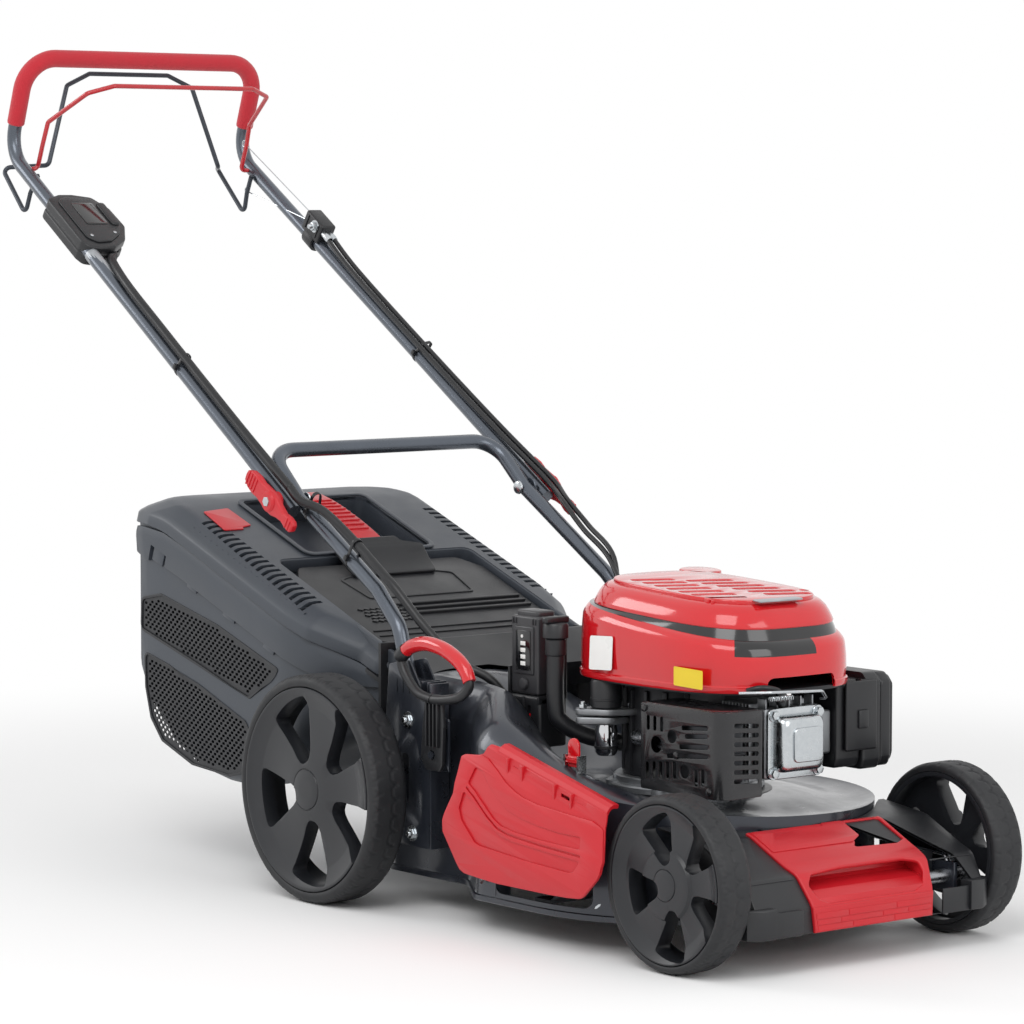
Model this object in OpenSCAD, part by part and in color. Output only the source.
// Walk-behind petrol lawn mower with electric start, rear catcher and side discharge.
// Frame: +Z up, -Y is the direction of travel, -X is the operator's right. Millimetres.
// Lengths along Y inside the modules are measured from the front wheel axis.

/* [Chassis] */
// Distance between the front and rear wheel axes
wheelbase = 620; // [600:5:640]
// Radius of the deck's round front half
deck_r = 224; // [222:1:225]
// Height of the deck's lower edge above the ground
skirt_z = 37; // [30:1:42]
// Thickness of the deck's steel sheet
sheet = 2.5; // [2:0.5:3]
// Radius swept by the blade tips
blade_r = 211; // [190:1:213]

/* [Wheels] */
// Radius of the front wheels
front_wheel_r = 100; // [98:1:100]
// Width of the front tyres
front_wheel_w = 46; // [40:1:46]
// Radius of the rear wheels
rear_wheel_r = 140; // [138:1:140]
// Width of the rear tyres
rear_wheel_w = 55; // [50:1:55]
// Number of spokes in every wheel
spokes = 5; // [5:1:7]

/* [Handle] */
// Radius of the handle tube
tube_r = 9.5; // [9:0.5:10]
// Slope of the upper handle in degrees
handle_slope = 33.9; // [32:0.1:36]
// Radius of the foam sleeve
foam_r = 12; // [11.5:0.5:13]

/* [Catcher] */
// Slope of the catcher's lid in degrees
lid_slope = 20.7; // [19:0.1:22]
// Number of louvres in each row of the lid
louvres = 19; // [8:1:20]
// Spacing of the holes in the catcher's side screens
screen_pitch = 17; // [14:0.5:20]

/* [Hidden] */
$fn = 40;

front_y = -676.8;                     // the front wheel axis in the part's own frame
crank_y = 230;                        // the engine's crankshaft behind the front axis
plate_z = 163;                        // top of the deck's plate under the engine
throw_y = 58;                         // crank arm, along the ground
throw_z = 20;                         // crank arm, rise at the lowest cut
front_pivot = [0, -throw_y, front_wheel_r - throw_z];
rear_pivot = [0, wheelbase - throw_y, rear_wheel_r - throw_z];
front_hub = [0, 0, front_wheel_r];
rear_hub = [0, wheelbase, rear_wheel_r];
rear_tie = rear_hub + [0, 42, 2];
front_in = 188;                       // inner face of the front wheels
rear_in = 219;                        // inner face of the rear wheels
clamp = [0, 757, 482];                // fold axis of the handle
leg_dir = [0, cos(handle_slope), sin(handle_slope)];
running = 0.05;                       // radial clearance of a shaft in its bore
gap = 0.4;                            // clearance between faces that pass each other
belt_z = 149;
pulley_y = 548;
pulley_x = 100;

black = "#1d1d20";
dark = "#2b2c30";
red = "#c8141d";
steel = "#b8bbc0";
zinc = "#d4d6d8";

// ---------------------------------------------------------------- helpers
module from_axle() translate([0, front_y, 0]) children();
module both_sides() { children(); mirror([1, 0, 0]) children(); }
module along_x(p, r, x0, x1) translate([x0, p[1], p[2]]) rotate([0, 90, 0]) cylinder(r = r, h = x1 - x0);

function unit(v) = v / norm(v);
function mirrored(list) = [for (i = [len(list) - 1:-1:0]) [-list[i][0], list[i][1], list[i][2]]];

module framed(o, x, z) {
    y = cross(z, x);
    multmatrix([[x[0], y[0], z[0], o[0]], [x[1], y[1], z[1], o[1]], [x[2], y[2], z[2], o[2]], [0, 0, 0, 1]])
        children();
}

// A straight bar between two points
module rod(a, b, r) {
    d = unit(b - a);
    side = abs(d[2]) < 0.9 ? [0, 0, 1] : [1, 0, 0];
    framed(a, unit(cross(side, d)), d) cylinder(r = r, h = norm(b - a));
}

// Points with every corner turned into an arc of one radius
function bent(pts, bend, parts = 4) = let (last = len(pts) - 1) [pts[0],
    for (i = [1:last - 1]) let (u = unit(pts[i - 1] - pts[i]), v = unit(pts[i + 1] - pts[i]),
        half = acos(u * v) / 2, turn = 180 - 2 * half, c = pts[i] + unit(u + v) * bend / sin(half),
        a = pts[i] + u * bend / tan(half) - c, b = pts[i] + v * bend / tan(half) - c)
        each [for (k = [0:parts]) c + (sin(turn * (1 - k / parts)) * a + sin(turn * k / parts) * b) / sin(turn)],
    pts[last]];

// Sideways directions carried along a path without twisting
function carried(t, s, i = 0) = i == len(t) ? [] :
    let (n = unit(s - t[i] * (s * t[i]))) concat([n], carried(t, n, i + 1));

// A cable swept along points with n flat sides
module cable(pts, r, n = 8) {
    last = len(pts) - 1;
    t = [for (i = [0:last]) unit(pts[min(i + 1, last)] - pts[max(i - 1, 0)])];
    s = carried(t, abs(t[0][0]) < 0.7 ? [1, 0.03, 0] : [0, 0, 1]);
    rings = [for (i = [0:last], k = [0:n - 1])
        pts[i] + r * (cos(360 * k / n) * s[i] + sin(360 * k / n) * cross(t[i], s[i]))];
    walls = [for (i = [0:last - 1], k = [0:n - 1])
        [i * n + k, (i + 1) * n + k, (i + 1) * n + (k + 1) % n, i * n + (k + 1) % n]];
    polyhedron(rings, concat(walls, [[for (k = [0:n - 1]) k], [for (k = [n - 1:-1:0]) last * n + k]]));
}

// A tube or wire that follows points, with every corner bent to one radius
module pipe(pts, r, bend, n = 8) cable(bent(pts, bend), r, n);

// A solid through rings of points that all have the same count
module loft(rings) {
    n = len(rings[0]);
    last = len(rings) - 1;
    walls = [for (i = [0:last - 1], k = [0:n - 1])
        [i * n + k, (i + 1) * n + k, (i + 1) * n + (k + 1) % n, i * n + (k + 1) % n]];
    polyhedron([for (ring = rings) each ring],
        concat([[for (k = [0:n - 1]) k]], walls, [[for (k = [n - 1:-1:0]) last * n + k]]));
}

// Rounded rectangle as points: half sizes, corner radius, points in a corner
function round_rect(hx, hy, r, n = 5) = [for (q = [0:3], k = [0:n]) let (a = 90 * q + 90 * k / n)
    [(q == 0 || q == 3 ? 1 : -1) * (hx - r) + r * cos(a), (q < 2 ? 1 : -1) * (hy - r) + r * sin(a)]];

module slot(w, h, t) linear_extrude(t) union() {
    square([w - h, h], center = true);
    for (s = [-1, 1]) translate([s * (w - h) / 2, 0]) circle(d = h, $fn = 16);
}

module hex_head(r, h) cylinder(r = r, h = h, $fn = 6);

// ---------------------------------------------------------------- deck
outline = concat(
    [for (y = [crank_y, 290]) [deck_r, y]], [[deck_r, 350], [197, 390], [170, 430], [170, 495], [170, 560]],
    [for (a = [30, 60]) [140 + 30 * cos(a), 570 + 30 * sin(a)]],
    [for (x = [140:-40:-140]) [x, 600]],
    [for (a = [120, 150]) [-140 + 30 * cos(a), 570 + 30 * sin(a)]],
    [[-170, 560], [-170, 495], [-170, 430], [-197, 390], [-deck_r, 350], [-deck_r, 290]],
    [for (a = [180:9:351]) [deck_r * cos(a), crank_y + deck_r * sin(a)]]);
roof = [[0, 150], [50, 150], [66, 200], [78, 262], [100, 288], [135, 280], [158, 243], [180, 212],
    [211, 180], [250, 156], [300, 146], [360, 150]];
rise = [[0, 0], [0.13, 0.02], [0.26, 0.15], [0.38, 0.36], [0.5, 0.62], [0.62, 0.86], [0.74, 1],
    [0.86, 0.95], [0.95, 0.8], [1, 0.6]];
seat_r = 100;

function roof_point(p, t, inset) = let (
    v = [p[0], p[1] - crank_y], d = unit(v), a = (atan2(v[1], v[0]) + 360) % 360,
    r = seat_r + (norm(v) - inset - seat_r) * t,
    z = plate_z + (lookup(a, roof) - plate_z) * lookup(t, rise) - inset)
    [d[0] * r, crank_y + d[1] * r, z];
function edge_point(p, inset) = let (v = [p[0], p[1] - crank_y], d = unit(v), r = norm(v) - inset)
    [d[0] * r, crank_y + d[1] * r, skirt_z];

module deck_shell() {
    n = len(outline);
    rows = [for (k = rise) k[0]];
    last = len(rows) - 1;
    loops = concat([for (t = rows) [for (p = outline) roof_point(p, t, 0)]],
        [[for (p = outline) edge_point(p, 0)], [for (p = outline) edge_point(p, sheet)]],
        [for (i = [last:-1:0]) [for (p = outline) roof_point(p, rows[i], sheet)]]);
    m = len(loops);
    polyhedron([for (ring = loops) each ring],
        [for (i = [0:m - 1], k = [0:n - 1]) let (a = i * n + k, b = i * n + (k + 1) % n,
            c = ((i + 1) % m) * n + (k + 1) % n, d = ((i + 1) % m) * n + k) each [[a, b, c], [a, c, d]]]);
}

// The deck's outside as one solid, for trimming what stands on it
module deck_body() {
    n = len(outline);
    last = len(rise);
    rings = concat([[for (p = outline) edge_point(p, 0)]],
        [for (i = [last - 1:-1:0]) [for (p = outline) roof_point(p, rise[i][0], 0)]]);
    polyhedron([for (ring = rings) each ring], concat([[for (k = [0:n - 1]) k]],
        [for (i = [0:last - 1], k = [0:n - 1]) let (a = i * n + k, b = (i + 1) * n + k,
            c = (i + 1) * n + (k + 1) % n, d = i * n + (k + 1) % n) each [[a, b, d], [b, c, d]]],
        [[for (k = [n - 1:-1:0]) last * n + k]]));
}
module on_deck() difference() { children(); deck_body(); }

discharge = [-250, 150, 50];          // side opening of the deck
discharge_size = [80, 160, 100];
mouth = [290, 60, 62];                // rear opening of the deck
module deck() color(dark) from_axle() {
    difference() {
        deck_shell();
        translate(discharge) cube(discharge_size);
        translate([-145, 560, 178]) cube(mouth);
        both_sides() along_x(rear_pivot, 8.1, 150, 190);
        translate([154, 62, 84]) cube([24, 50, 37]);
        translate([pulley_x - 42, 560, 30]) cube([84, 60, 150]);
    }
    difference() {
        translate([0, crank_y, plate_z - sheet]) cylinder(r = seat_r + 1, h = sheet);
        translate([0, crank_y, 100]) cylinder(r = 40, h = 100);
        for (a = [30, 150, 270]) translate([80 * cos(a), crank_y + 80 * sin(a), 100])
            cylinder(r = 4.5, h = 100);
    }
    // wall between the blade chamber and the rear axle
    difference() {
        translate([0, crank_y, skirt_z]) cylinder(r = 221, h = 85);
        translate([0, crank_y, skirt_z - 1]) cylinder(r = 221 - sheet, h = 90);
        translate([-300, -100, 0]) cube([600, 409, 300]);
        translate([142, 366, 106]) cube([28, 40, 30]);
    }
    both_sides() translate([202, 308, skirt_z]) cube([21, sheet, 85]);
    front_axle_brackets();
}

// ---------------------------------------------------------------- front end
// Brackets welded to the deck that carry the front axle
module front_axle_brackets() both_sides() difference() {
    translate([146, -72, 62]) cube([6, 150, 34]);
    along_x(front_pivot, 8 + running, 140, 160);
    translate([0, crank_y, 0]) cylinder(r = deck_r - 2, h = 200, $fn = 80);
}

nose = [[-91, 43], [-89, 74], [-72, 106], [-45, 118], [4, 142], [70, 150]];
module nose_shell(w, grow = 0) difference() {
    rotate([90, 0, 90]) translate([0, 0, -w]) linear_extrude(2 * w)
        polygon([for (p = nose) p + [-grow, grow * 0.6], [72, 43]]);
    rotate([90, 0, 90]) translate([0, 0, 3 - w]) linear_extrude(2 * w - 6)
        polygon([for (p = nose) p + [3.2 - grow, -3 + grow * 0.6], [72, 30], [-87, 30]]);
    translate([0, crank_y, 0]) cylinder(r = deck_r, h = 200, $fn = 80);
}
module grip_outline(grow = 0) rotate([90, 0, 0]) translate([0, 0, -20]) linear_extrude(130)
    polygon([[-90 - grow, 30], [90 + grow, 30], [95 + grow, 71], [103 + grow, 112], [103 + grow, 150],
        [-103 - grow, 150], [-103 - grow, 112], [-95 - grow, 71]]);

module front_panel() color(black) from_axle() {
    difference() {
        union() {
            nose_shell(176);
            // lower corners that wrap round in front of the wheels
            both_sides() difference() {
                translate([140, -98, 43]) cube([46, 26, 36]);
                translate([143, -95, 40]) cube([40, 30, 36]);
                translate([170, -98, 30]) rotate([0, 0, 35]) translate([0, -30, 0]) cube([40, 30, 60]);
            }
        }
        grip_outline(gap);
        both_sides() translate([145.5, -75, 30]) cube([7, 160, 67]);
        both_sides() along_x(front_pivot, 20, 160, 190);
    }
    // web behind the grip that joins both halves
    translate([-140, -43, 60]) cube([280, 3, 57]);
}

module front_grip() color(red) from_axle() {
    difference() {
        intersection() {
            nose_shell(112, 2.5);
            grip_outline();
            translate([-150, -120, 0]) cube([300, 130, 200]);
        }
        hand_slot(40);
    }
    // pocket behind the hand slot, above the front axle
    rotate([90, 0, 90]) difference() {
        translate([0, 0, -95]) linear_extrude(190)
            polygon([[-87, 73], [-71.5, 90.2], [-43, 90.2], [-43, 117], [-72, 105]]);
        translate([0, 0, -92]) linear_extrude(184)
            polygon([[-87, 76], [-72.5, 92.4], [-45.2, 92.4], [-45.2, 120], [-76, 110], [-95, 80]]);
    }
}
module hand_slot(depth) translate([0, -81, 92]) rotate([118, 0, 0]) translate([0, 0, -depth / 2])
    slot(172, 30, depth);

// ---------------------------------------------------------------- axles and height setting
module crank(pivot, hub, x, t, r = 11) difference() {
    v = hub - pivot;
    union() {
        along_x(pivot, r, x, x + t);
        along_x(hub, r, x, x + t);
        translate([x, pivot[1], pivot[2]]) rotate([atan2(v[2], v[1]), 0, 0]) translate([0, -r + 1, 0])
            translate([0, r - 1, -r + 1]) cube([t, norm(v), 2 * r - 2]);
    }
    children();
}
link_arm = [0, 12, 20];              // from each pivot to the eye of the height link

module front_axle() color(steel) from_axle() {
    along_x(front_pivot, 8, -184, 184);
    both_sides() {
        crank(front_pivot, front_hub, 181, 5);
        along_x(front_hub, 6, 186, 229);
    }
    rod(front_pivot + [158, 0, 0], front_pivot + [158, 0, 0] + link_arm, 4);
    along_x(front_pivot + link_arm, 3.5, 156, 170);
}

// The two arms are tied behind the drive shaft, clear of the gearbox
module rear_axle() color(steel) from_axle() {
    along_x(rear_tie, 8, -203, 203);
    both_sides() {
        along_x(rear_pivot, 8, 154.5, 203);
        difference() {
            union() {
                crank(rear_pivot, rear_hub, 201, 5, 13);
                crank(rear_hub, rear_tie, 201, 5, 11.5);
            }
            along_x(rear_hub, 7 + running, 190, 210);
        }
    }
    rod(rear_pivot + [157, 0, 0], rear_pivot + [157, 0, 0] + link_arm, 3);
    along_x(rear_pivot + link_arm, 3.5, 145, 159);
}

module height_link() color(zinc) from_axle() {
    a = front_pivot + link_arm;
    b = rear_pivot + link_arm;
    for (p = [a + [165, 0, 0], b + [150, 0, 0]]) difference() {
        translate([p[0] - 3, p[1], p[2]]) rotate([0, 90, 0]) cylinder(r = 8, h = 6);
        along_x(p, 3.5 + running, p[0] - 10, p[0] + 10);
    }
    rod(a + [165, 7, 0.4], b + [150, -7, -0.4], 3);
}

module drive_shaft() color(steel) from_axle() along_x(rear_hub, 7, -268, 268);

module gearbox() color("#3a3b3f") from_axle() difference() {
    union() {
        along_x(rear_hub, 29, pulley_x - 32, pulley_x + 32);
        translate([pulley_x, pulley_y, 102]) cylinder(r = 22, h = 38);
        translate([pulley_x - 22, pulley_y, 104]) cube([44, 45, 34]);
        for (x = [-38, 32]) along_x(rear_hub, 15, pulley_x + x, pulley_x + x + 6);
    }
    along_x(rear_hub, 7 + running, 40, 180);
    translate([pulley_x, pulley_y, 90]) cylinder(r = 5 + running, h = 60);
}

module v_pulley(r, z, bore) translate([0, 0, z - 7]) rotate_extrude()
    polygon([[bore, 0], [r, 0], [r, 2], [r - 8, 3.5], [r - 8, 10.5], [r, 12], [r, 14], [bore, 14]]);

module gearbox_pulley() color(steel) from_axle() translate([pulley_x, pulley_y, 0]) {
    v_pulley(36, belt_z, 4);
    translate([0, 0, 108]) cylinder(r = 5, h = belt_z - 101);
}

// Belt round the crank pulley and the gearbox pulley
module drive_belt() color(black) from_axle() difference() {
    belt_solid(7.8, 6);
    belt_solid(0.5, 20);
}
module belt_solid(out, h) {
    v = [pulley_x, pulley_y - crank_y];
    r0 = 24 - 8 + out;
    r1 = 36 - 8 + out;
    tilt = asin((r1 - r0) / norm(v));
    translate([0, crank_y, belt_z - h / 2]) rotate([0, 0, atan2(v[1], v[0])]) linear_extrude(h)
        polygon(concat([for (k = [0:24]) let (a = 90 + tilt + k * (180 - 2 * tilt) / 24) r0 * [cos(a), sin(a)]],
            [for (k = [0:24]) let (a = -90 - tilt + k * (180 + 2 * tilt) / 24)
                [norm(v) + r1 * cos(a), r1 * sin(a)]]));
}

lever_pivot = [0, 452, 195];
module height_lever() color(black) from_axle() {
    difference() {
        union() {
            along_x(lever_pivot, 20, -208, -202);
            translate([-208, 434, 195]) cube([6, 30, 72]);
            for (y = [437:7:460]) translate([-212, y, 205]) cube([5, 3, 58]);
        }
        along_x(lever_pivot, 5 + running, -230, -190);
    }
    pipe([[-209, 449, 262], [-209, 400, 268], [-209, 372, 284], [-209, 384, 300]], 6, 12);
    pipe([[-209, 449, 262], [-209, 484, 270], [-209, 508, 292], [-209, 511, 308]], 6, 12);
    pipe([[-209, 384, 300], [-209, 398, 316], [-209, 440, 329], [-209, 490, 326], [-209, 511, 308]], 7, 12);
}

module handle_brackets() color(black) from_axle() {
    both_sides() difference() {
        union() {
            translate([171, 0, 0]) bracket_plate(3);
            translate([196, 0, 0]) bracket_plate(3);
            translate([171, 466, 78]) cube([28, 3, 200]);
        }
        along_x(rear_pivot, 8 + running, 160, 203);
        for (p = bracket_holes) along_x(p, 4, 150, 220);
    }
    // right-hand bracket carries the pivot and the notched quadrant of the height lever
    difference() {
        union() {
            translate([-199, 430, 176]) cube([3, 40, 60]);
            along_x(lever_pivot, 5, -209, -199);
        }
        for (k = [0:4]) translate([-205, 433 + 9 * k, 228]) cube([10, 4, 12]);
    }
}
module bracket_plate(t) rotate([90, 0, 90]) linear_extrude(t)
    polygon([[466, 78], [545, 78], [582, 104], [582, 134], [560, 180], [548, 296], [508, 304], [470, 250]]);

bracket_holes = [[0, 501, 94], [0, 509, 231]];
// Bolts of the handle brackets, and the carriage bolts of the handle's fold
module handle_bolts() color(zinc) from_axle() both_sides() {
    for (p = bracket_holes) {
        along_x(p, 4, 171, 199);
        along_x(p, 9, 199, 200.3);
        along_x(p, 6.5, 199, 201.7);
    }
    along_x(clamp, 4, 171, 233);
    along_x(clamp, 9, 168, 171.6);
}

// ---------------------------------------------------------------- wheels
function window_points(r) = let (n = 6) concat(
    [for (k = [-n:n]) let (a = 25 * k / n) 0.80 * r * [cos(a), sin(a)]],
    [for (k = [n:-1:-n]) let (a = 13 * k / n) 0.36 * r * [cos(a), sin(a)]]);

module rim(r, w, bore) {
    difference() {
        union() {
            rotate_extrude() polygon([[0.84 * r, 0], [0.895 * r, 0], [0.895 * r, w - 5], [0.94 * r, w - 5],
                [0.94 * r, w - 1], [0.91 * r, w], [0.885 * r, w], [0.875 * r, w - 3], [0.86 * r, w - 1],
                [0.84 * r, w - 2]]);
            // dished web with its spokes
            rotate_extrude() polygon([[0, 0.62 * w], [0.2 * r, 0.62 * w], [0.85 * r, 0.42 * w],
                [0.85 * r, 0.72 * w], [0.2 * r, 0.86 * w], [0, 0.86 * w]]);
            cylinder(r = 0.16 * r, h = w - 4);
            cylinder(r = 0.23 * r, h = 0.9 * w);
            translate([0, 0, 0.9 * w]) cylinder(r1 = 0.23 * r, r2 = 0.17 * r, h = 0.1 * w, $fn = 40);
        }
        for (k = [0:spokes - 1]) rotate(360 * k / spokes + 90) translate([0, 0, 0.2 * w])
            linear_extrude(w) polygon(window_points(r));
        translate([0, 0, -1]) cylinder(r = bore, h = w - 3.5);
        translate([0, 0, -1]) difference() {
            cylinder(r = 0.4 * r, h = 0.5 * w);
            cylinder(r = 0.16 * r, h = w);
        }
    }
}
module tyre(r, w) difference() {
    rotate_extrude() polygon([[0.895 * r, 0], [0.955 * r, 0], [0.985 * r, 3], [r, 8], [r, w - 9],
        [0.985 * r, w - 4], [0.945 * r, w - 2], [0.945 * r, w - 5.2], [0.895 * r, w - 5.2]]);
    for (k = [0:23]) rotate(15 * k) translate([0.975 * r, -1.2, -1]) cube([r, 2.4, 0.3 * w]);
}
module at_front(side) from_axle() translate([side * front_in, 0, front_wheel_r]) rotate([0, side * 90, 0])
    children();
module at_rear(side) from_axle() translate([side * rear_in, wheelbase, rear_wheel_r])
    rotate([0, side * 90, 0]) children();
spindle = 6 + running;
shaft = 7 + running;
module rim_front_right() color("#55575c") at_front(-1) rim(front_wheel_r, front_wheel_w, spindle);
module rim_front_left() color("#55575c") at_front(1) rim(front_wheel_r, front_wheel_w, spindle);
module rim_rear_right() color("#55575c") at_rear(-1) rim(rear_wheel_r, rear_wheel_w, shaft);
module rim_rear_left() color("#55575c") at_rear(1) rim(rear_wheel_r, rear_wheel_w, shaft);
module tyre_front_right() color(black) at_front(-1) tyre(front_wheel_r, front_wheel_w);
module tyre_front_left() color(black) at_front(1) tyre(front_wheel_r, front_wheel_w);
module tyre_rear_right() color(black) at_rear(-1) tyre(rear_wheel_r, rear_wheel_w);
module tyre_rear_left() color(black) at_rear(1) tyre(rear_wheel_r, rear_wheel_w);

// ---------------------------------------------------------------- side discharge flap
flap_slope = 14;
flap_hinge = [-232, 118, 170];
module flap_frame() translate(flap_hinge) rotate([flap_slope, 0, 0]) children();
flap_edge = [[112, 184], [316, 236], [343, 218], [366, 214], [384, 150], [384, 130], [335, 66], [130, 62],
    [110, 92], [108, 165]];
// Section of the flap: distance outwards and height above the hinge pin
flap_out = [[-1, 15.6], [2, 15], [7, 8], [7, -6], [17, -50], [19, -90], [15, -160]];
flap_in = [[11, -160], [15, -90], [13, -50], [3, -6], [3, 5], [0, 11], [-1, 11.6]];
module side_flap() color(red) from_axle() {
    difference() {
        intersection() {
            flap_frame() rotate([90, 0, 180]) translate([0, 0, -20]) linear_extrude(330)
                polygon(concat(flap_out, flap_in));
            rotate([90, 0, 90]) translate([0, 0, -300]) linear_extrude(120) polygon(flap_edge);
        }
        // two recessed fields
        rotate([90, 0, 90]) translate([0, 0, -300]) linear_extrude(51.6) {
            polygon([[140, 92], [300, 98], [352, 146], [346, 164], [280, 118], [140, 112]]);
            polygon([[140, 122], [272, 128], [340, 178], [330, 200], [262, 150], [140, 140]]);
        }
    }
    for (u = [50, 150]) for (s = [0, 22]) flap_frame() translate([0, u + s, 0]) difference() {
        union() {
            rotate([-90, 0, 0]) cylinder(r = 5.5, h = 4);
            translate([-5, 0, -5]) cube([5, 4, 10]);
        }
        rotate([-90, 0, 0]) translate([0, 0, -1]) cylinder(r = 2.5 + running, h = 6);
    }
}
module side_flap_rod() color(zinc) from_axle() {
    flap_frame() translate([0, 30, 0]) rotate([-90, 0, 0]) cylinder(r = 2.5, h = 170);
    on_deck() flap_frame() for (u = [34, 108, 190])
        translate([0, u, 0]) {
            rotate([-90, 0, 0]) cylinder(r = 2.8, h = 5);
            translate([0, 0, -2.8]) cube([44, 5, 5.6]);
        }
    on_deck() {
        for (y = [192, 216]) translate([-196, y, 190]) cube([12, 3, 30]);
        translate([-190, 192, 214]) rotate([-90, 0, 0]) cylinder(r = 3, h = 27);
    }
}
module side_flap_latch() color(red) from_axle() difference() {
    union() {
        translate([-190, 196, 214]) rotate([-90, 0, 0]) cylinder(r = 5.5, h = 19);
        translate([-193, 196, 214]) cube([4, 19, 18]);
        translate([-193, 205.5, 230]) rotate([0, 90, 0]) cylinder(r = 9.5, h = 4);
    }
    translate([-190, 190, 214]) rotate([-90, 0, 0]) cylinder(r = 3 + running, h = 30);
}

// ---------------------------------------------------------------- rear opening
flap_pin = [0, 612, 306];
module on_slope() translate([0, 608, 285]) rotate([lid_slope, 0, 0]) children();
module rear_frame() color(black) from_axle() {
    difference() {
        translate([-172, 600, 104]) cube([344, 5, 210]);
        translate([-145, 590, 178]) cube([290, 30, 66]);
        translate([pulley_x - 42, 590, 90]) cube([84, 30, 90]);
    }
    // hood over the mouth, level with the engine plate
    on_deck() rotate([90, 0, 90]) translate([0, 0, -150]) linear_extrude(300)
        polygon([[530, 280], [600, 314], [600, 246], [566, 246]]);
    both_sides() {
        translate([151, 604, 298]) cube([4.4, 16, 16]);
        // ledge that carries the front of the catcher
        on_slope() translate([165, -13, -17]) cube([7, 33, 5]);
    }
    along_x(flap_pin, 4, -155, 155);
}
module rear_flap() color(black) from_axle() {
    difference() {
        union() {
            on_slope() difference() {
                translate([-150, 20, 3]) cube([300, 230, 14]);
                translate([-146, 16, 0]) cube([292, 230, 14]);
            }
            on_slope() for (s = [60:22:190]) translate([-120, s, 16]) cube([240, 8, 4]);
            for (x = [-140, -20, 100]) {
                along_x(flap_pin, 7, x, x + 40);
                on_slope() translate([x + 1.5, 11, 12.5]) cube([37, 12, 3.6]);
            }
        }
        along_x(flap_pin, 4 + running, -160, 160);
    }
}

// ---------------------------------------------------------------- handle
lower_line = [[-185, 503, 214], [-185, 545, 340], [-182, 592, 381], [-181, 757, 482], [-181, 822, 540]];
module lower_handle() color(dark) from_axle() difference() {
    union() {
        pipe(concat(lower_line, mirrored(lower_line)), tube_r, 36, 16);
        both_sides() along_x(clamp, 13, 188, 192.8);
    }
    both_sides() {
        along_x(clamp, 4, 160, 240);
        along_x(bracket_holes[1], 4, 160, 240);
    }
}
leg_low = [-203, 738, 469];
leg_high = [-190, 1418, 922];
bar_corner = [-190, 1372, 1049];
upper_line = [leg_low, leg_high, bar_corner];
function on_leg(y) = leg_low + (leg_high - leg_low) * (y - leg_low[1]) / (leg_high[1] - leg_low[1]);
// A point beside the leg: across, along, and above its centre line
function off_leg(x, y, n) = [x, y - n * sin(handle_slope), on_leg(y)[2] + n * cos(handle_slope)];
brake_pivot = [0, 1369, on_leg(1369)[2]];
drive_pivot = [0, 1383, on_leg(1383)[2]];

module upper_handle() color(dark) from_axle() difference() {
    union() {
        pipe(concat(upper_line, mirrored(upper_line)), tube_r, 45, 16);
        both_sides() along_x(clamp, 13, 193, 213);
    }
    both_sides() {
        along_x(clamp, 4 + running, 180, 230);
        for (p = [brake_pivot, drive_pivot]) along_x(p, pin_r + running, 170, 187);
    }
}
pin_r = 2.8;                          // pins at the ends of the two bails
// The foam sleeve covers the loop above this point
foam_start = leg_high + unit(bar_corner - leg_high) * 40;
foam_out = foam_start + unit(bar_corner - leg_high) * 10;
module foam_grip() color("#cd3c46") from_axle() difference() {
    line = [foam_start, bar_corner, mirrored([bar_corner])[0], mirrored([foam_start])[0]];
    long = [foam_start * 2 - foam_out, bar_corner, mirrored([bar_corner])[0],
        mirrored([foam_start * 2 - foam_out])[0]];
    pipe(line, foam_r, 45, 16);
    pipe(long, tube_r + 0.2, 45, 16);
}
module clamp_knob() color(red) difference() {
    union() {
        along_x(clamp, 12, 213.2, 232);
        translate([220, clamp[1], clamp[2]]) rotate([33, 0, 0]) {
            translate([0, -58, -6]) cube([9, 116, 12]);
            translate([0, 40, 0]) rotate([0, 90, 0]) cylinder(r = 14, h = 9);
        }
    }
    along_x(clamp, 4 + running, 200, 240);
    translate([210, clamp[1], clamp[2]]) rotate([-28, 0, 0]) translate([0, 40, 0]) rotate([0, 90, 0])
        cylinder(r = 6, h = 30);
}
module clamp_knob_right() from_axle() mirror([1, 0, 0]) clamp_knob();
module clamp_knob_left() from_axle() clamp_knob();

brake_line = [[-177, brake_pivot[1], brake_pivot[2]], [-180, 1384, 866], [-182, 1394, 837],
    [-180, 1457, 901], [-141, 1399, 904], [-104, 1409, 1014], [-65, 1412, 1031]];
module brake_bail() color("#8d9096") from_axle() {
    pipe(concat(brake_line, mirrored(brake_line)), 3.2, 7);
    both_sides() along_x(brake_pivot, pin_r, 174.5, 186);
}
drive_line = [[-178, drive_pivot[1], drive_pivot[2]], [-169, drive_pivot[1], drive_pivot[2]],
    [-169, 1369, 932], [-167, 1358, 962], [-148, 1288, 1000], [-114, 1274, 1010]];
module drive_bail() color(red) from_axle() {
    pipe(concat(drive_line, mirrored(drive_line)), 3.2, 7);
    both_sides() along_x(drive_pivot, pin_r, 175, 186);
}

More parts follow.
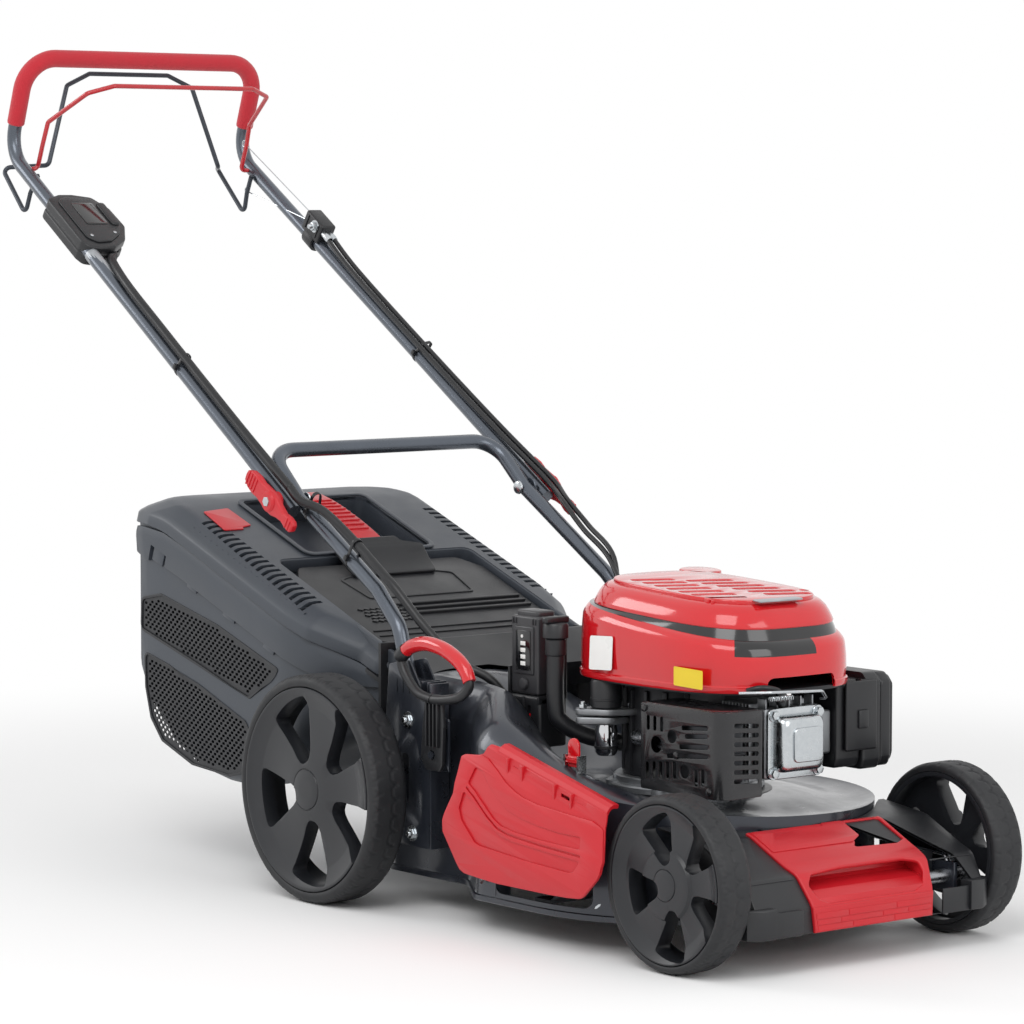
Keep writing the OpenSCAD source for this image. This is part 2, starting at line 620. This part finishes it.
module on_handle(y) {
    d = unit(leg_high - leg_low);
    framed(on_leg(y), unit([1, 0, 0] - d * d[0]), d) children();
}
module switch_box() color(black) from_axle() on_handle(1275) difference() {
    union() {
        rotate([90, 0, 0]) translate([0, 0, -19]) linear_extrude(34)
            polygon([[12, -52], [32, -62], [58, -46], [74, -20], [74, 18], [58, 44], [20, 44], [12, 36]]);
        for (z = [-40, 14]) translate([0, 0, z]) cylinder(r = 14, h = 18);
    }
    translate([0, 0, -80]) cylinder(r = tube_r, h = 160);
    translate([44, 2, 20]) cylinder(r = 9 + running, h = 40);
}
module start_button() color("#3c3e43") from_axle() on_handle(1275) translate([44, 2, 26]) {
    cylinder(r = 9, h = 20);
    translate([0, 0, 20]) cylinder(r = 7, h = 2);
}
module cable_bracket() color(black) from_axle() mirror([1, 0, 0]) on_handle(1240) difference() {
    union() {
        translate([0, 0, -12]) cylinder(r = 14, h = 24);
        translate([-12, -34, -22]) cube([24, 24, 44]);
    }
    translate([0, 0, -80]) cylinder(r = tube_r, h = 160);
}

// Cables clipped along the handle, in the order in which they run from the grip downwards
switch_line = [[-149, 1236, 795], [-158, 1212, 782], [-180, 1182, 776], off_leg(-197, 1130, 18),
    off_leg(-199, 1050, 18), off_leg(-201, 950, 18), off_leg(-202, 850, 18), off_leg(-203, 757, 20)];
switch_low = [off_leg(-203, 755.4, 20), off_leg(-203, 735, 20), [-193, 690, 472], [-185, 640, 438],
    [-184, 590, 408], [-182, 555, 384], [-170, 520, 345], [-150, 480, 303], [-126, 445, 282],
    [-110, 430, 258], [-106, 422, 246], [-106, 412, 246]];
brake_cable = [off_leg(188, 1221.7, 22), off_leg(186, 1150, 17), off_leg(190, 1000, 16),
    off_leg(197, 850, 16), off_leg(203, 757, 18)];
brake_low = [off_leg(203, 755.4, 18), off_leg(203, 735, 18), [190, 690, 468], [184, 640, 434], [176, 580, 402],
    [150, 510, 350], [116, 430, 312], [84, 350, 284], [68, 322, 272], [68, 312, 271],
    [68, 300, 271]];
drive_cable = [for (p = brake_cable) p + [9, 0, 2]];
drive_low = [brake_low[0] + [9, 0, 2], brake_low[1] + [9, 0, 2], [199, 690, 468], [193, 640, 438], [178, 572, 402],
    [164, 548, 330], [158, 535, 260], [156, 525, 180]];
module control_cables_upper() color(black) from_axle() {
    cable(switch_line, 6);
    cable(brake_cable, 3.5);
    cable(drive_cable, 3.5);
}
module control_cables_lower() color(black) from_axle() {
    cable(switch_low, 6);
    cable(brake_low, 3.5);
    on_deck() cable(drive_low, 3.5);
}

// ---------------------------------------------------------------- engine
module engine_base() color(steel) from_axle() translate([0, crank_y, 0]) difference() {
    union() {
        translate([0, 0, plate_z]) cylinder(r = 92, h = 10);
        translate([0, 0, plate_z + 10]) cylinder(r = 84, h = 8);
        for (a = [30, 150, 270]) translate([80 * cos(a), 80 * sin(a), plate_z]) {
            cylinder(r = 16, h = 12);
            translate([0, 0, 12]) hex_head(8, 6);
        }
    }
    translate([0, 0, 100]) cylinder(r = 11.1 + running, h = 150);
    for (a = [30, 150, 270]) translate([80 * cos(a), 80 * sin(a), plate_z - 1]) cylinder(r = 4.2, h = 10);
}
engine_top = 300;
function body_ring(z, inset, tilt = 0) = let (c = [6, 189], hx = 118 - inset, hy = 156 - inset, e = 2 / 3.2)
    [for (k = [0:47]) let (a = 7.5 * k, x = cos(a), y = sin(a),
        p = c + [hx * sign(x) * pow(abs(x), e), hy * sign(y) * pow(abs(y), e)])
        [p[0], p[1], z + tilt * (p[1] - c[1])]];
module crankcase() color("#26272a") from_axle() difference() {
    union() {
        translate([0, crank_y, plate_z + 18]) cylinder(r = 72, h = engine_top - 3 - plate_z - 18);
        translate([-46, 112, 190]) cube([92, 90, engine_top - 3 - 190]);
        loft([body_ring(engine_top - 3, 1), body_ring(engine_top, 1)]);
        translate([40, 270, 258]) cube([34, 30, 26]);
        // oil filler tube
        pipe([[-48, 268, 214], [-92, 314, 224], [-118, 328, 252], [-118, 328, 330]], 10, 14);
        translate([-118, 328, 326]) cylinder(r = 11, h = 26);
    }
    translate([0, crank_y, 150]) cylinder(r = 11.1 + running, h = 200);
}
module cylinder_fins() for (y = [64:7:106]) translate([-46, y, 192]) cube([92, 3, 88]);
module engine_cylinder() color("#7d7f84") from_axle() {
    translate([-36, 44, 202]) cube([72, 68, 68]);
    cylinder_fins();
    translate([-42, 44, 196]) cube([84, 18, 80]);
    along_x([0, 88, 236], 12, -82, -30);
    along_x([0, 92, 238], 12, 30, 90);
    translate([54, 74, 214]) cube([30, 38, 48]);
    rod([0, 62, 270], [-24, 36, 290], 6);
}
module valve_cover() color(zinc) from_axle() {
    translate([1, 0, 236]) rotate([90, 0, 0]) {
        translate([0, 0, -44]) linear_extrude(4) polygon(round_rect(41, 40, 9));
        loft([[for (p = round_rect(33, 32, 10)) [p[0], p[1], -40]],
            [for (p = round_rect(32, 31, 10)) [p[0], p[1], -28]],
            [for (p = round_rect(27, 26, 9)) [p[0], p[1], -24]]]);
        translate([3, 0, -24]) linear_extrude(3) polygon(round_rect(22, 20, 7));
        for (x = [-34, 34], y = [-33, 33]) translate([x, y, -40]) hex_head(6, 6);
    }
}
module crankshaft() color(steel) from_axle() translate([0, crank_y, 0]) {
    translate([0, 0, 52]) cylinder(r = 11.1, h = 296);
    difference() { v_pulley(24, belt_z, 11); }
    translate([0, 0, 64]) cylinder(r = 20, h = 40);
    translate([0, 0, 52]) cylinder(r = 30, h = 12);
    translate([0, 0, 30]) hex_head(14, 9);
    translate([0, 0, 39]) cylinder(r = 17, h = 3);
    translate([0, 0, 40]) cylinder(r = 6, h = 14);
}
module flywheel() color("#6d6f73") from_axle() translate([0, crank_y, 0]) difference() {
    union() {
        translate([0, 0, 312]) cylinder(r = 76, h = 16);
        for (k = [0:15]) rotate(22.5 * k) translate([42, -1.5, 326]) rotate([0, 0, 18]) cube([32, 3, 24]);
        translate([0, 0, 326]) cylinder(r = 26, h = 20);
    }
    translate([0, 0, 300]) cylinder(r = 11.1, h = 80);
}
module blade() color("#4a4c50") from_axle() translate([0, crank_y, 0]) difference() {
    union() {
        translate([-150, -26, 46]) cube([300, 52, 4]);
        for (a = [0, 180]) rotate(a) {
            translate([150, -26, 46]) cube([58, 30, 4]);
            // lifted trailing edge that throws the grass up
            translate([118, 0, 46]) rotate([34, 0, 0]) cube([86, 28, 4]);
        }
    }
    translate([0, 0, 40]) cylinder(r = 6.1, h = 20);
    difference() {
        translate([0, 0, 30]) cylinder(r = 400, h = 60);
        translate([0, 0, 29]) cylinder(r = blade_r, h = 62);
    }
}
module muffler() color("#56585c") from_axle() {
    translate([-102, 86, 196]) linear_extrude(70) polygon(round_rect(20, 54, 14));
    for (p = [[60, 214], [118, 214], [60, 248], [118, 248]]) along_x([0, p[0], p[1]], 4, -128, -118);
}
module guard_plan(g) translate([-103, 86]) polygon(round_rect(27 - g, 66 - g, 16 - g));
module muffler_guard() color("#3a3b3f") from_axle() difference() {
    translate([0, 0, 182]) linear_extrude(98) guard_plan(0);
    translate([0, 0, 184]) linear_extrude(94) guard_plan(2);
    translate([-84, 0, 184]) cube([40, 200, 94]);
    // near face: short upright slots, long level slots and round holes
    translate([-140, 0, 0]) rotate([90, 0, 90]) {
        for (y = [140, 131, 122]) translate([y, 266, 0]) rotate(90) slot(15, 5, 20);
        for (z = [261, 248, 235]) translate([72, z, 0]) slot(34, 6, 20);
        translate([80, 222, 0]) slot(50, 6, 20);
        for (y = [141, 132, 123, 114, 105, 60, 50]) translate([y, 199, 0]) rotate(90) slot(20, 5, 20);
        translate([108, 246, 0]) cylinder(d = 14, h = 20);
        translate([132, 232, 0]) cylinder(d = 18, h = 20);
        translate([86, 199, 0]) cylinder(d = 14, h = 20);
    }
    for (k = [0:6]) translate([-98, 40, 200 + 11 * k]) rotate([90, 0, 0]) slot(25, 5.5, 40);
}
module air_filter() color("#2c2d31") from_axle() {
    difference() {
        translate([90, 106, 252]) rotate([90, 0, 90]) union() {
            linear_extrude(60) polygon(round_rect(44, 58, 20));
            translate([0, 0, 60]) linear_extrude(3) polygon(round_rect(41, 55, 18));
            loft([[for (p = round_rect(45, 59, 21)) [p[0], p[1], 63]],
                [for (p = round_rect(45, 59, 21)) [p[0], p[1], 84]],
                [for (p = round_rect(36, 50, 18)) [p[0], p[1], 94]]]);
        }
        translate([85, 58, 236]) cube([60, 6, 14]);
        translate([60, 50, engine_top - 3.4]) cube([64.5, 120, 30]);
    }
}
cap_at = [86, 302];
module cowl_cut() {
    translate([cap_at[0], cap_at[1], 300]) cylinder(r = 27, h = 130);
}
module cowl() color(red) from_axle() difference() {
    loft([body_ring(engine_top, 0), body_ring(338, 1), body_ring(352, 4), body_ring(364, 10, 0.04),
        body_ring(372, 15, 0.05), body_ring(386, 21, 0.055)]);
    loft([body_ring(engine_top - 1, 3), body_ring(338, 4), body_ring(352, 7), body_ring(362, 13, 0.04),
        body_ring(370, 18, 0.05), body_ring(388, 24, 0.055)]);
    cowl_cut();
    translate([6, 20, engine_top - 1]) rotate([-90, 0, 0]) translate([0, 0, 0]) slot(80, 30, 60);
}
module cowl_grille() color(red) from_axle() difference() {
    loft([body_ring(386, 19, 0.055), body_ring(398, 21, 0.055), body_ring(403, 28, 0.055)]);
    loft([body_ring(385, 22, 0.055), body_ring(395, 24, 0.055), body_ring(399, 32, 0.055)]);
    cowl_cut();
    // two rows of air slots above the fan
    for (k = [0:6]) translate([-38 + 3 * k, 120 + 26 * k, 380]) rotate(-18) slot(54, 9, 40);
    for (k = [0:5]) translate([40 - 2 * k, 110 + 26 * k, 380]) rotate(-18) slot(44, 9, 40);
    translate([-52, 96, 380]) cylinder(r = 8, h = 40);
}
module fuel_tank() color(black) from_axle() {
    difference() {
        intersection() {
            loft([body_ring(engine_top, 5), body_ring(364, 20)]);
            translate([20, 150, engine_top]) cube([140, 220, 64]);
        }
        translate([0, crank_y, 290]) cylinder(r = 86, h = 100);
    }
    translate([cap_at[0], cap_at[1], 350]) cylinder(r = 18, h = 48);
}
module fuel_cap() color("#2a2b2e") from_axle() translate([cap_at[0], cap_at[1], 388]) difference() {
    union() {
        cylinder(r = 22, h = 16);
        for (k = [0:11]) rotate(30 * k) translate([21, -3, 0]) cube([3, 6, 14]);
    }
    translate([0, 0, -1]) cylinder(r = 18 + running, h = 11);
}
module dipstick() color(black) from_axle() translate([-118, 328, 352]) {
    difference() {
        translate([0, 0, -12]) cylinder(r = 15, h = 18);
        translate([0, 0, -13]) cylinder(r = 11 + running, h = 13);
    }
    translate([-17, -4, 6]) cube([34, 8, 7]);
}
module starter_motor() color("#a9abae") from_axle() difference() {
    translate([-88, 262, 0]) {
        translate([0, 0, plate_z + 18]) cylinder(r = 15, h = 22);
        translate([0, 0, plate_z + 40]) cylinder(r = 13.5, h = 43);
        translate([0, 0, 246]) rotate(-20) slot(60, 30, 15);
        translate([0, 0, 258]) cylinder(r = 14.4, h = 39);
        for (s = [-1, 1]) rotate(-20) translate([s * 22, 0, 260]) hex_head(4.6, 6);
    }
    translate([0, crank_y, 150]) cylinder(r = 72, h = 200);
    translate([0, crank_y, 150]) cylinder(r = 84, h = 31);
}
battery_at = [-103, 383];
module battery() color("#5d5f64") from_axle() {
    difference() {
        translate([battery_at[0], battery_at[1], 268]) linear_extrude(94) polygon(round_rect(17, 25, 5));
        translate([-122, 365, 296]) cube([3, 34, 52]);
    }
    translate([battery_at[0], battery_at[1], 362]) linear_extrude(6) polygon(round_rect(12, 20, 5));
    translate([-124, 375, 276]) cube([5, 16, 14]);
}
module battery_dock() color(black) from_axle() {
    on_deck() difference() {
        translate([-122, 352, 212]) cube([42, 60, 56]);
        translate([-126, 370, 230]) cube([8, 4, 26]);
        translate([-126, 392, 230]) cube([8, 4, 26]);
    }
    translate([-84, 352, 268]) cube([4, 60, 70]);
    on_deck() for (y = [356, 398], x = [-118, -92]) translate([x, y, 170]) cube([10, 10, 42]);
}

// ---------------------------------------------------------------- catcher
// Half width and bottom of the basket at stations from the rear to the front
basket_stations = [[1104, 166, 330], [1088, 186, 262], [1050, 205, 186], [1020, 205, 150], [940, 205, 118],
    [850, 205, 110], [760, 205, 132], [700, 190, 168], [650, 167, 186], [605.5, 158, 192]];
function basket_ring(s, inset) = let (lo = s[2] + inset, hi = 330 + (s[0] - 608) * tan(lid_slope))
    [for (p = round_rect(s[1] - inset, (hi - lo) / 2, 26, 4)) [p[0], s[0], p[1] + (lo + hi) / 2]];
module above_lid(n) on_slope() translate([-300, -300, n]) cube([600, 1000, 400]);
screen_field = [[772, 182], [772, 318], [1040, 416], [1046, 300], [1010, 196], [930, 150], [850, 146]];
module catcher_basket() color(black) from_axle() difference() {
    loft([for (s = basket_stations) basket_ring(s, 0)]);
    loft([for (s = basket_stations)
        basket_ring([s[0] > 1100 ? 1101 : s[0] < 610 ? 600 : s[0], s[1], s[2]], 3)]);
    above_lid(-0.45);
    both_sides() translate([180, 0, 0]) rotate([90, 0, 90]) linear_extrude(40) polygon(screen_field);
}
// Perforated plates behind the side windows of the basket
module catcher_screens() color("#26262a") from_axle() both_sides() translate([199.5, 0, 0])
    rotate([90, 0, 90]) linear_extrude(2.5) difference() {
        polygon([[764, 172], [764, 328], [1048, 426], [1049, 296], [1018, 192], [934, 148], [844, 142]]);
        for (j = [0:11], i = [0:20]) let (y = 784 + (i + (j % 2) / 2) * screen_pitch, z = 160 + 20 * j,
            t = (y - 772) / 270)
            if (z > 158 + 34 * pow(2 * t - 0.75, 2) + max(0, t - 0.7) * 230 && z < 308 + 98 * t && y < 1036)
                translate([y, z]) polygon([[-5, 0], [0, -8], [5, 0], [0, 8]]);
    }
lid_half = [[170, -12], [170, 36], [188, 72], [206, 106], [212, 150], [212, 430], [212, 470], [203, 506],
    [186, 530], [162, 541]];
function lid_ring(inset, n) = let (
    half = [for (p = lid_half) [p[0] - inset, min(p[1], p[1] - inset * (p[1] - 160) / 300), n]])
    concat(half, [for (i = [len(half) - 1:-1:0]) [-half[i][0], half[i][1], n]]);
module catcher_lid() color(black) from_axle() difference() {
    on_slope() {
        difference() {
            loft([lid_ring(0, -12), lid_ring(0, 5), lid_ring(5, 14), lid_ring(14, 20), lid_ring(50, 24)]);
            translate([0, -1.5, 0]) loft([lid_ring(3, -13), lid_ring(3, 4), lid_ring(7, 11), lid_ring(16, 17),
                lid_ring(50, 21)]);
            translate([-156, -40, -20]) cube([312, 296, 80]);
            translate([-100, 250, -20]) cube([200, 177, 80]);
            both_sides() for (k = [0:louvres - 1]) translate([168, 126 + 14.2 * k, 8]) cube([27, 7, 30]);
            for (s = [176, 266, 356, 446]) translate([-214, s, -7]) cube([10, 34, 8]);
        }
        // sunk field under the flap and the sunk hollow under the grip
        difference() {
            translate([-159, -40, -0.4]) cube([318, 299, 22]);
            translate([-156, -41, 2.6]) cube([312, 297, 30]);
        }
        difference() {
            translate([-103, 257.5, -12]) cube([206, 172.5, 34.4]);
            translate([-100, 262, -9]) cube([200, 165, 40]);
        }
    }
    translate([-300, 400, 0]) cube([600, 205.5, 600]);
}
module catcher_grip() color(red) from_axle() on_slope() {
    difference() {
        translate([-20, 256, 24]) cube([40, 184, 6]);
        translate([-14, 276, 20]) cube([28, 130, 6.5]);
    }
    for (s = [282:10:402]) translate([-16, s, 30]) cube([32, 4, 1.6]);
}

// ---------------------------------------------------------------- sub-parts
deck();
front_panel();
front_grip();
front_axle();
rear_axle();
drive_shaft();
gearbox();
gearbox_pulley();
drive_belt();
height_link();
height_lever();
handle_brackets();
handle_bolts();
rim_front_right();
rim_front_left();
rim_rear_right();
rim_rear_left();
tyre_front_right();
tyre_front_left();
tyre_rear_right();
tyre_rear_left();
side_flap();
side_flap_rod();
side_flap_latch();
rear_frame();
rear_flap();
lower_handle();
upper_handle();
foam_grip();
clamp_knob_right();
clamp_knob_left();
brake_bail();
drive_bail();
switch_box();
start_button();
control_cables_upper();
control_cables_lower();
cable_bracket();
engine_base();
crankcase();
engine_cylinder();
valve_cover();
crankshaft();
flywheel();
blade();
muffler();
muffler_guard();
air_filter();
cowl();
cowl_grille();
fuel_tank();
fuel_cap();
dipstick();
starter_motor();
battery();
battery_dock();
catcher_basket();
catcher_lid();
catcher_grip();
catcher_screens();
